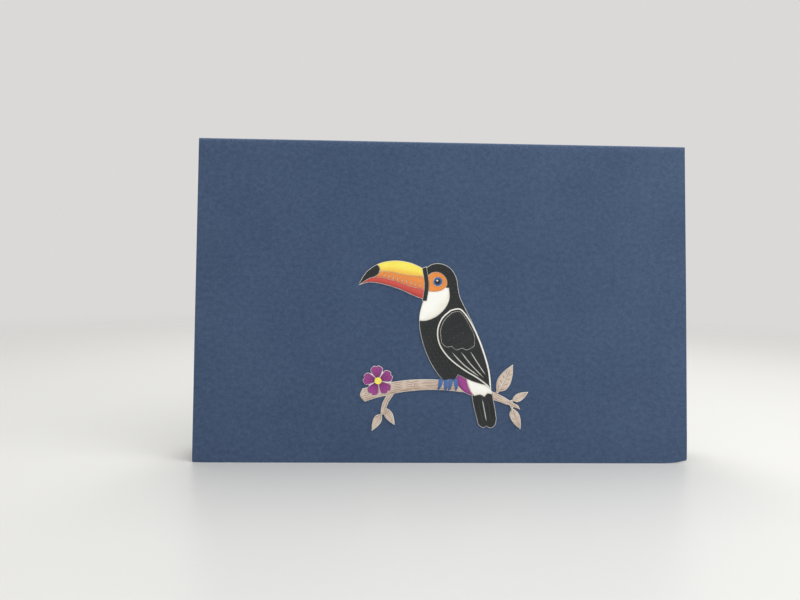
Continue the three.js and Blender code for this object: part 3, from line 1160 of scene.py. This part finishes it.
@dataclass
class Blank:
    """A cut piece seen along its long axis: places as u along and v across, or as shares of both.

    The long axis is the main direction of points spread evenly over the piece, so many to its longer side.
    """

    outlines: list[Array]
    heading: Heading
    spread: int = 40
    narrowest: float = 0.05 * MM
    centre: Array = field(init=False)
    axis: Array = field(init=False)
    across: Array = field(init=False)
    turned: list[Array] = field(init=False)
    start: float = field(init=False)
    length: float = field(init=False)

    FAIR_RUN = (0.04, 0.96)
    FAIR_STATIONS = 150
    FAIR_DEGREE = 4
    FAIR_ROUNDS = 3
    NOTCH = 0.15 * MM

    def __post_init__(self) -> None:
        """Finds the long axis and turns it the way of the heading. The broad end is nearer to the centre."""
        edge = np.concatenate(self.outlines)
        spread = lattice_inside(self.outlines, np.ptp(edge, axis=0).max() / self.spread)
        self.centre = spread.mean(axis=0)
        self.axis = np.linalg.eigh(np.cov((spread - self.centre).T))[1][:, 1]
        u = (edge - self.centre) @ self.axis
        runs_to_broad_end = u.max() < -u.min()
        is_wrong_way = {
            Heading.RIGHT: self.axis[0] < 0,
            Heading.TO_BROAD_END: not runs_to_broad_end,
            Heading.TO_NARROW_END: runs_to_broad_end,
        }
        if is_wrong_way[self.heading]:
            self.axis = -self.axis
        self.across = np.array([-self.axis[1], self.axis[0]])
        self.turned = [self.read(outline)[:, ::-1] for outline in self.outlines]
        u = self.read(edge)[:, 0]
        self.start, self.length = u.min(), np.ptp(u)

    def read(self, places: Array) -> Array:
        """Turns places on the leaf into u and v."""
        return (places - self.centre) @ np.stack([self.axis, self.across], axis=1)

    def sides(self, u: Array) -> tuple[Array, Array]:
        """Finds both sides of the piece.

        Args:
            u: distances along the axis.

        Returns:
            The lowest and the highest v at each of them, or 0 beyond the piece's ends.
        """
        meeting, meets = crossings(np.stack([0 * u, u], axis=1), self.turned)
        low = np.where(meets, meeting, np.inf).min(axis=1)
        high = np.where(meets, meeting, -np.inf).max(axis=1)
        return np.where(np.isfinite(low), low, 0), np.where(np.isfinite(high), high, 0)

    def shares(self, places: Array) -> tuple[Array, Array]:
        """Turns places on the leaf into shares.

        Args:
            places: one row of two coordinates for each place.

        Returns:
            The share of the way along and the share of the way across, for each place.
        """
        u, v = self.read(places).T
        low, high = self.sides(u)
        return (u - self.start) / self.length, (v - low) / np.maximum(high - low, self.narrowest)

    def at(self, along: Array, across: Array) -> Array:
        """Turns shares of the way along and across back into places on the leaf."""
        low, high = self.sides(self.start + self.length * along)
        return self.spot(along, low + (high - low) * across)

    def spot(self, along: Array, v: Array) -> Array:
        """Turns a share of the way along and a v into places on the leaf."""
        u = self.start + self.length * along
        return self.centre + u[:, None] * self.axis + v[:, None] * self.across

    @cached_property
    def faired_sides(self) -> tuple[Array, Array]:
        """Fits a smooth curve to each side that passes over the notches where other pieces lie.

        Each is a polynomial in the share of the way along. It is fitted in a few rounds, and each round
        leaves out the places that lie deeper than a notch inside the last fit.

        Returns:
            The coefficients of the lower and of the higher side.
        """
        along = np.linspace(*self.FAIR_RUN, self.FAIR_STATIONS)
        fits = []
        for side, outwards in zip(self.sides(self.start + self.length * along), (-1, 1)):
            keep = np.ones(len(along), bool)
            for _ in range(self.FAIR_ROUNDS):
                fit = np.polyfit(along[keep], side[keep], self.FAIR_DEGREE)
                keep = outwards * (side - np.polyval(fit, along)) > -self.NOTCH
            fits.append(fit)
        return fits[0], fits[1]

    def between(self, along: Array, across: Array) -> Array:
        """Turns shares of the way along and across, between the faired sides, into places on the leaf."""
        bottom, top = (np.polyval(side, along) for side in self.faired_sides)
        return self.spot(along, bottom + (top - bottom) * across)

    def width(self, along: float = 0.5) -> float:
        """Returns the width of the piece at a share of the way along."""
        low, high = self.sides(np.array([self.start + self.length * along]))
        return float(high[0] - low[0])


@dataclass(frozen=True)
class Drawing:
    """Lines scored into a piece so that they keep to its shape. A plain piece has none.

    In the kinds of drawing, a run is the first and the last share of the piece's length, and a spread is how
    far the lines stand off its middle there, as shares of its width.
    """

    line_width: float = 0.17 * MM
    points: int = 14
    margin: float = 0.32 * MM
    fewest_points: int = 5

    def scores(self, blank: Blank, seed: int) -> list[Score]:
        """Scores the drawing into a piece.

        Args:
            blank: the piece.
            seed: the seed of whatever is drawn at random.

        Returns:
            The scores, clear of the piece's outline.
        """
        paths = self.paths(blank, seed)
        return [Score(part, self.line_width) for path in paths for part in self.kept(blank, path)]

    def kept(self, blank: Blank, path: Array) -> list[Array]:
        """Cuts a path back to the parts that lie inside the piece and clear of its outline by the margin.

        Args:
            blank: the piece.
            path: the path's points.

        Returns:
            The parts that are left with enough points.
        """
        outlines = blank.outlines
        clear = is_inside(path, outlines) & (distance_to(path, np.concatenate(outlines)) > self.margin)
        numbers = np.flatnonzero(clear)
        runs = np.split(numbers, np.flatnonzero(np.diff(numbers) > 1) + 1)
        return [path[run] for run in runs if len(run) >= self.fewest_points]

    def paths(self, blank: Blank, seed: int) -> list[Array]:
        """Returns the paths of the lines: none on a plain piece."""
        return []


@dataclass(frozen=True)
class Grain(Drawing):
    """The grain of wood, with a knot in a long enough piece.

    The sway is a share of the gap between lines, and the unevenness one of a stroke. The knot stands at a
    share of the length, and its push and the height of its ring are shares of the width. The ring's opening
    is half the angle, in degrees, that it leaves open.
    """

    line_gap: float = 0.72 * MM
    stroke: float = 8 * MM
    pause: float = 0.45 * MM
    unevenness: float = 0.2
    sway: float = 0.1
    sway_length: float = 2.6 * MM
    knotted_from: float = 20 * MM
    knot_at: float = 0.55
    knot_reach: float = 1.5 * MM
    knot_push: float = 0.13
    ring_reach: float = 1.125 * MM
    ring_height: float = 0.11
    ring_opening: float = 25.0
    heart_reach: float = 0.45 * MM
    heart_points: int = 6

    def paths(self, blank: Blank, seed: int) -> list[Array]:
        """Draws lines that keep a share of the way across, plus a slow sine, in strokes of uneven length.

        Args:
            blank: the piece.
            seed: the seed of the strokes' ends and of the sines' phases.

        Returns:
            The paths of the lines, and of the knot if there is one.
        """
        random = np.random.default_rng(seed)
        lines = max(2, round(blank.width() / self.line_gap))
        strokes = max(1, round(blank.length / self.stroke))
        pause = self.pause / blank.length
        is_knotted = blank.length > self.knotted_from
        paths = []
        for level in np.linspace(0.5 / lines, 1 - 0.5 / lines, lines):
            shifts = random.uniform(-self.unevenness, self.unevenness, strokes + 1)
            cuts = np.linspace(0, 1, strokes + 1) + shifts / strokes
            phase = random.uniform(0, 2 * math.pi)
            for first, last in zip(cuts, cuts[1:]):
                along = np.linspace(max(first, 0.0) + pause, min(last, 1.0) - pause, 2 * self.points)
                wave = np.sin(along * blank.length / self.sway_length + phase)
                across = level + self.sway / lines * wave
                if is_knotted:
                    across = across + self.push(blank, along, level)
                paths.append(blank.between(along, across))
        return paths + self.knot(blank) if is_knotted else paths

    def push(self, blank: Blank, along: Array, level: float) -> Array:
        """Works out how far a line bends away from the knot.

        It is a bell curve along the piece, times one less the square of the line's share of the way from the
        middle to the side.

        Args:
            blank: the piece.
            along: shares of the way along.
            level: the line's own share of the way across.

        Returns:
            The bend at each place, as a share of the width.
        """
        bell = np.exp(-(((along - self.knot_at) * blank.length / self.knot_reach) ** 2))
        return np.sign(level - 0.5) * self.knot_push * (1 - (2 * level - 1) ** 2) * bell

    def knot(self, blank: Blank) -> list[Array]:
        """Draws the knot.

        Args:
            blank: the piece.

        Returns:
            An oval ring that is left open at one end, and a short stroke inside it.
        """
        turn = np.radians(np.linspace(self.ring_opening, 360 - self.ring_opening, 2 * self.points))
        along = self.knot_at + self.ring_reach / blank.length * np.cos(turn)
        ring = blank.between(along, 0.5 + self.ring_height * np.sin(turn))
        way = np.linspace(-1, 1, self.heart_points)
        heart = blank.between(self.knot_at + self.heart_reach / blank.length * way, 0.5 + 0 * way)
        return [ring, heart]


@dataclass(frozen=True)
class Veins(Drawing):
    """A plant leaf's side veins, in pairs.

    The veined part, the first and the last root, and how far ahead of a root the half width is measured are
    shares of the length. The extent of a vein is a share of that half width.
    """

    gap: float = 1.7 * MM
    clear: float = 0.42 * MM
    veined: float = 0.62
    roots: Range = (0.14, 0.66)
    measured_ahead: float = 0.08
    extent: float = 0.74
    slant: float = 0.55
    bend: float = 0.25

    def paths(self, blank: Blank, seed: int) -> list[Array]:
        """Draws veins that start clear of the middle and run across towards the margin.

        A vein moves along by a slant, times the way out, plus a bend, times half the width and the square of
        the way.

        Args:
            blank: the piece.
            seed: not needed, as nothing is drawn at random.

        Returns:
            The paths of the veins.
        """
        pairs = max(2, int(self.veined * blank.length / self.gap))
        way = np.linspace(0, 1, self.points)
        paths = []
        for root in np.linspace(*self.roots, pairs):
            half = 0.5 * blank.width(root + self.measured_ahead)
            out = self.clear + way * (self.extent * half - self.clear)
            along = root + (self.slant * out + self.bend * half * way**2) / blank.length
            paths += [blank.at(along, 0.5 + side * 0.5 * out / half) for side in (-1, 1)]
        return paths


@dataclass(frozen=True)
class Rays(Drawing):
    """A petal's three lines, which fan out from its narrow end."""

    middle_run: Range = (0.34, 0.78)
    side_run: Range = (0.4, 0.7)
    side_spread: Range = (0.2, 0.28)

    def paths(self, blank: Blank, seed: int) -> list[Array]:
        """Draws a line down the middle and one on each side of it, all straight in shares of the piece.

        Args:
            blank: the piece.
            seed: not needed, as nothing is drawn at random.

        Returns:
            The paths of the lines.
        """
        middle = blank.at(np.linspace(*self.middle_run, self.points), np.full(self.points, 0.5))
        along = np.linspace(*self.side_run, self.points)
        spread = np.linspace(*self.side_spread, self.points)
        return [middle, *(blank.at(along, 0.5 + side * spread) for side in (-1, 1))]


@dataclass(frozen=True)
class Shafts(Drawing):
    """The shafts of long feathers, one on each side of the middle."""

    run: Range = (0.1, 0.8)
    spread: Range = (0.22, 0.25)

    def paths(self, blank: Blank, seed: int) -> list[Array]:
        """Draws both shafts, straight in shares of the piece."""
        along, spread = (np.linspace(*ends, 2 * self.points) for ends in (self.run, self.spread))
        return [blank.at(along, 0.5 + side * spread) for side in (-1, 1)]


@dataclass(frozen=True)
class Scallops(Drawing):
    """Rows of feather tips.

    A tip's height is a share of its width, and the gap beside it one of the pitch. The field that a row
    takes up, the limit and the stagger are shares of the piece's width, the last over the number of tips.
    """

    rows: int = 3
    run: Range = (0.3, 0.74)
    tip: float = 2.1 * MM
    tip_height: float = 0.5
    field_across: Range = (0.1, 0.9)
    limit: float = 0.92
    tip_gap: float = 0.06
    stagger: float = 0.25

    def paths(self, blank: Blank, seed: int) -> list[Array]:
        """Draws tips side by side, each an arc whose height is half a sine wave.

        Every other row is staggered, and a tip that would pass the limit is left out.

        Args:
            blank: the piece.
            seed: not needed, as nothing is drawn at random.

        Returns:
            The paths of the tips.
        """
        way = np.linspace(0, 1, self.points)
        height = self.tip_height * self.tip / blank.length * np.sin(math.pi * way)
        field_width = self.field_across[1] - self.field_across[0]
        paths = []
        for row, along in enumerate(np.linspace(*self.run, self.rows)):
            count = max(2, round(blank.width(along) * field_width / self.tip))
            pitch, shift = field_width / count, self.stagger / count * (row % 2)
            for first in np.linspace(*self.field_across, count, endpoint=False) + shift:
                across = first + pitch * (self.tip_gap + (1 - 2 * self.tip_gap) * way)
                if across[-1] < self.limit:
                    paths.append(blank.at(along + height, across))
        return paths


@dataclass(frozen=True)
class Flecks(Drawing):
    """Short strokes of down on a lattice. The swing is in radians."""

    gap: float = 1.9 * MM
    stroke: float = 0.8 * MM
    stroke_points: int = 5
    swing: float = 0.35

    def paths(self, blank: Blank, seed: int) -> list[Array]:
        """Draws strokes along the piece, each swung a little at random to either side.

        Args:
            blank: the piece.
            seed: the seed of the swings.

        Returns:
            The paths of the strokes.
        """
        random = np.random.default_rng(seed)
        places = lattice_inside(blank.outlines, self.gap)
        edge = np.concatenate(blank.outlines)
        places = blank.read(places[distance_to(places, edge) > self.stroke])
        swing = random.uniform(-self.swing, self.swing, len(places))
        way = np.linspace(-0.5, 0.5, self.stroke_points)[None, :, None] * self.stroke
        step = np.stack([np.cos(swing), np.sin(swing)], axis=1)[:, None]
        strokes = places[:, None] + way * step
        return list(blank.centre + strokes @ np.stack([blank.axis, blank.across]))


class Motif(Enum):
    """What is scored into a piece."""

    PLAIN = Drawing()
    GRAIN = Grain()
    VEINS = Veins()
    RAYS = Rays()
    SHAFTS = Shafts()
    SCALLOPS = Scallops()
    FLECKS = Flecks()


class Run(Enum):
    """Which way over a piece something changes."""

    ALONG = "along"
    ACROSS = "across"


@dataclass(frozen=True)
class Wash:
    """A thin wash of ink over part of a piece: plain at one share of the way, full at another."""

    run: Run
    plain_at: float
    full_at: float = 0.0
    strength: float = 0.6

    def at(self, along: Array, across: Array) -> Array:
        """Returns the strength of the wash at shares of the way along and across."""
        share = along if self.run is Run.ALONG else across
        return self.strength * smoothstep((share - self.plain_at) / (self.full_at - self.plain_at))


@dataclass(frozen=True)
class Style:
    """How a cut piece is finished: its scores, its wash, how far its end lifts, and how much is trimmed."""

    motif: Motif = Motif.PLAIN
    heading: Heading = Heading.RIGHT
    wash: Wash | None = None
    lift: float = 0.0
    trim: float = 0.0


LEAF_STYLE = Style(
    motif=Motif.VEINS,
    heading=Heading.TO_NARROW_END,
    wash=Wash(Run.ALONG, plain_at=0.55, strength=0.55),
    lift=0.28 * MM,
)
PETAL_STYLE = Style(
    motif=Motif.RAYS,
    heading=Heading.TO_BROAD_END,
    wash=Wash(Run.ALONG, plain_at=0.6, full_at=0.05, strength=0.8),
    lift=0.22 * MM,
)
WOOD_STYLE = Style(motif=Motif.GRAIN, wash=Wash(Run.ACROSS, plain_at=0.5, strength=0.55))
TOE_STYLE = Style(heading=Heading.TO_NARROW_END, wash=Wash(Run.ALONG, plain_at=0.3, full_at=1.0))
STYLES: dict[str, Style] = {
    "picture_backing": Style(trim=0.22 * MM),
    "bill_culmen": Style(wash=Wash(Run.ACROSS, plain_at=0.6, strength=0.7)),
    "bill_stripe": Style(wash=Wash(Run.ACROSS, plain_at=0.6, strength=0.5)),
    "bill_lower": Style(wash=Wash(Run.ACROSS, plain_at=0.7, strength=0.65)),
    "bird_body": Style(motif=Motif.FLECKS, heading=Heading.TO_NARROW_END),
    "throat_bib": Style(wash=Wash(Run.ACROSS, plain_at=0.5, strength=0.7)),
    "wing_coverts": Style(motif=Motif.SCALLOPS, heading=Heading.TO_NARROW_END, lift=0.1 * MM),
    "tail": Style(motif=Motif.SHAFTS, heading=Heading.TO_NARROW_END, lift=0.2 * MM),
    "rump": Style(wash=Wash(Run.ACROSS, plain_at=0.5, strength=0.5)),
    "vent": Style(wash=Wash(Run.ACROSS, plain_at=0.5)),
    "branch_left": WOOD_STYLE,
    "branch_right": WOOD_STYLE,
    "twig": WOOD_STYLE,
    **{f"toe_{number}": TOE_STYLE for number in range(1, 5)},
    **{f"leaf_{number}": LEAF_STYLE for number in range(1, 6)},
    **{f"petal_{number}": PETAL_STYLE for number in range(1, 6)},
}


@dataclass
class CutPaper:
    """One cut piece of the picture, pressed flat on the pieces below it.

    Its outlines are as seen from in front: x to the right, and the distance down the leaf as a negative
    number. It keeps a share, the press, of the height that its node stands off the board. It is glued down
    for a share of its length.
    """

    leaf: Leaf
    node: str
    slot: str
    style: Style
    materials: list[bpy.types.Material]
    press: float = 0.62
    sunk: float = 0.05 * MM
    flatness: float = 0.01 * MM
    glued: float = 0.35
    curve_steps: int = 4
    corner_degrees: float = 46.0
    lattice: float = 0.85 * MM
    toast_width: float = 0.55 * MM

    WASH_NAME = "wash"
    TOAST_NAME = "toast"

    def read_outlines(self) -> tuple[list[Array], float, float]:
        """Reads the shape of the node's top face.

        Returns:
            The face's outlines on the leaf, and how high the node's foot and its top stand off the board.
        """
        points, triangles = node_mesh(self.node)
        places = self.leaf.read(points)
        height = places[:, 2] - self.leaf.outer
        top, foot = height.max(), height.min()
        flat = triangles[(height[triangles] > top - self.flatness).all(axis=1)]
        outlines = [places[loop, :2] * [1, -1] for loop in loops_of(flat)]
        return outlines, foot, top

    def build(self) -> bpy.types.Object:
        """Makes the piece: a scored face, a cut edge that follows each outline, and a back.

        Returns:
            The piece, riding on the front leaf.
        """
        corners, foot, top = self.read_outlines()
        if self.style.trim:
            corners = [drawn_in(loop, self.style.trim) for loop in corners]
        outlines = [smooth_outline(loop, self.curve_steps, self.corner_degrees) for loop in corners]
        blank = Blank(outlines, self.style.heading)
        scores = self.style.motif.value.scores(blank, zlib.crc32(self.node.encode()))
        face = Face.filling(outlines, scores, self.lattice)
        count = len(face.places)
        top, foot = top * self.press, foot * self.press - self.sunk
        front_points = self.raised(blank, face.places, top - face.depth)
        points = np.concatenate([front_points, self.raised(blank, face.places, foot)])
        first, second = face.rims.T
        wall = np.stack([count + first, count + second, second, first], axis=1)
        whole, scored = face.triangles[~face.is_scored], face.triangles[face.is_scored]
        sheet = np.concatenate([whole, face.triangles[:, ::-1] + count])
        piece = make_object(self.node + "_paper", points, [sheet, wall, scored], self.materials)
        self.add_ink(piece.data, blank, face)
        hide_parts(self.node)
        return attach(piece, Body.FRONT.value)

    def raised(self, blank: Blank, places: Array, height: Array | float) -> Array:
        """Sets places at a height over the board.

        The far end lifts by a smoothstep of the way along, from where the glue stops.

        Args:
            blank: the piece.
            places: one row of two coordinates for each place.
            height: their height over the board before the lift.

        Returns:
            The points.
        """
        along = (blank.read(places)[:, 0] - blank.start) / blank.length
        lift = self.style.lift * smoothstep((along - self.glued) / (1 - self.glued))
        return self.leaf.put(places[:, 0], -places[:, 1], self.leaf.outer + height + lift)

    def add_ink(self, mesh: bpy.types.Mesh, blank: Blank, face: Face) -> None:
        """Stores the strength of the wash and of the browning along the cut edge.

        The browning is the square of how far a place is inside its width, counted from the edge.

        Args:
            mesh: the piece's mesh.
            blank: the piece.
            face: its face, whose points the mesh has twice, in front and at the back.
        """
        edge = face.places[face.rims[:, 0]]
        wash = self.style.wash.at(*blank.shares(face.places)) if self.style.wash else 0 * face.depth
        toast = np.clip(1 - distance_to(face.places, edge) / self.toast_width, 0, 1) ** 2
        for name, value in ((self.WASH_NAME, wash), (self.TOAST_NAME, toast)):
            add_values(mesh, name, np.tile(value, 2))


# ---------------------------------------------------------------------------------------- studio


@dataclass(frozen=True)
class Lamp:
    """A soft square lamp: where it hangs, the length of its side in metres, and its power in watts."""

    name: str
    place: Triple
    side: float
    watts: float

    def hang(self, target: Triple) -> None:
        """Hangs the lamp and keeps its mirror image out of the floor's gloss.

        Args:
            target: the point that it faces.
        """
        light = bpy.data.lights.new(self.name, "AREA")
        light.size = self.side
        light.energy = self.watts
        lamp = bpy.data.objects.new(self.name, light)
        lamp.visible_camera = False
        lamp.visible_glossy = False
        lamp.location = self.place
        aim = Vector(target) - Vector(self.place)
        lamp.rotation_euler = aim.to_track_quat("-Z", "Y").to_euler()
        bpy.context.scene.collection.objects.link(lamp)


@dataclass(frozen=True)
class Studio:
    """A pale floor that fades out far from the card, soft light, and the camera in front of the card."""

    camera_place: Triple = (-0.02576, -0.25109, 0.07777)
    camera_degrees: Triple = (87.068, -0.717, -1.809)
    lens_mm: float = 27.2
    film_mm: float = 36.0
    nearest: float = 0.005
    sky: Colour = (218, 217, 215)
    lit_at: Triple = (0.0, 0.0, 0.06)
    lamps: tuple[Lamp, ...] = (
        Lamp("right", (0.45, -0.42, 0.50), side=0.8, watts=3.1),
        Lamp("side", (0.35, -0.15, 0.45), side=0.3, watts=0.69),
        Lamp("top", (-0.03, 0.16, 0.62), side=0.25, watts=1.1),
        Lamp("back", (0.0, 0.45, 0.50), side=0.5, watts=0.6),
    )
    floor: Colour = (215, 215, 213)
    floor_roughness: float = 0.35
    floor_reach: float = 2.0
    floor_points: int = 9
    fade: Range = (0.3, 0.9)

    def build(self) -> None:
        """Sets up the camera, the light and the floor."""
        self.add_camera()
        self.add_sky()
        for lamp in self.lamps:
            lamp.hang(self.lit_at)
        self.add_floor()
        bpy.context.scene.view_settings.view_transform = "Standard"

    def add_camera(self) -> None:
        """Stands the camera in front of the card, a little to its left and looking slightly down."""
        camera = bpy.data.objects.new("camera", bpy.data.cameras.new("camera"))
        camera.location = self.camera_place
        camera.rotation_euler = tuple(math.radians(angle) for angle in self.camera_degrees)
        camera.data.lens = self.lens_mm
        camera.data.sensor_width = self.film_mm
        camera.data.clip_start = self.nearest
        bpy.context.scene.collection.objects.link(camera)
        bpy.context.scene.camera = camera

    def add_sky(self) -> None:
        """Makes the pale surroundings, which give most of the light."""
        world = bpy.data.worlds.new("surroundings")
        world.use_nodes = True
        background = world.node_tree.nodes["Background"]
        background.inputs["Color"].default_value = linear(self.sky)
        background.inputs["Strength"].default_value = 1.0
        bpy.context.scene.world = world

    def add_floor(self) -> None:
        """Lays the floor as a flat grid."""
        side = np.linspace(-self.floor_reach, self.floor_reach, self.floor_points)
        x, y = np.meshgrid(side, side)
        points = np.stack([x, y, 0 * x], axis=-1).reshape(-1, 3)
        floor = make_object("floor", points, [grid_quads(*x.shape)], [self.floor_finish()])

    def floor_finish(self) -> bpy.types.Material:
        """Makes the floor's material, whose faint gloss holds a blurred image of the card.

        It fades to clear by a smoothstep of the distance from the card.

        Returns:
            The material.
        """
        graph = Graph("floor")
        place = graph.add("TexCoord").outputs["Object"]
        distance = graph.add("VectorMath", {0: place}, operation="LENGTH").outputs["Value"]
        span = {0: distance, 1: self.fade[0], 2: self.fade[1]}
        away = graph.add("MapRange", span, interpolation_type="SMOOTHSTEP").outputs[0]
        gloss = {"Base Color": linear(self.floor), "Roughness": self.floor_roughness}
        surface = graph.add("BsdfPrincipled", gloss).outputs[0]
        clear = graph.add("BsdfTransparent").outputs[0]
        return graph.finish(graph.add("MixShader", {0: away, 1: surface, 2: clear}).outputs[0])


# ---------------------------------------------------------------------------------------- the card


@dataclass
class Card:
    """The whole card: its cover, the writing panel inside it, and the picture on its front leaf."""

    front: Leaf
    back: Leaf

    def build(self) -> None:
        """Makes the cover, the writing panel and the picture, and reports each piece."""
        cover = Cover(self.front, self.back, FINISHES["cover_board"]).build()
        log.info("cover: %d points", len(cover.data.vertices))
        panel = WritingPanel(self.back, FINISHES["white_paper"]).build()
        log.info("writing panel: %d points", len(panel.data.vertices))
        self.build_picture()

    def build_picture(self) -> None:
        """Makes every cut piece of the picture in the finish of its node's slot."""
        slots = {part["node"]: part["material_slot"] for part in frame["record"]["subparts"]}
        for other in (self.front.node, self.back.node, WritingPanel.node):
            del slots[other]
        papers = {slot: FINISHES[slot] for slot in FINISHES if slot != "cover_board"}
        materials = {slot: [paper.face(), paper.edge(), paper.score()] for slot, paper in papers.items()}
        for node, slot in slots.items():
            style = STYLES.get(node, Style())
            piece = CutPaper(self.front, node, slot, style, materials[slot]).build()
            log.info("%s: %d points", piece.name, len(piece.data.vertices))


def main() -> None:
    """Builds the card and its studio."""
    logging.basicConfig(level=logging.INFO, format="%(message)s")
    front = Leaf(
        "front_leaf",
        bow=0.3 * MM,
        left=Corner(bend=-0.2 * MM, reach=7 * MM, draw=0.15 * MM, rounding=0.3 * MM, wear=0.6),
        right=Corner(bend=-0.4 * MM, reach=11 * MM, draw=1.2 * MM, rounding=0.4 * MM, wear=0.9),
    )
    back = Leaf(
        "back_leaf",
        bow=0.2 * MM,
        left=Corner(bend=0.3 * MM, reach=7 * MM, draw=0.2 * MM, rounding=0.5 * MM, wear=0.5),
        right=Corner(bend=0.5 * MM, reach=9 * MM, draw=0.5 * MM, rounding=0.6 * MM, wear=0.7),
    )
    Card(front, back).build()
    Studio().build()


if __name__ == "__main__":
    main()
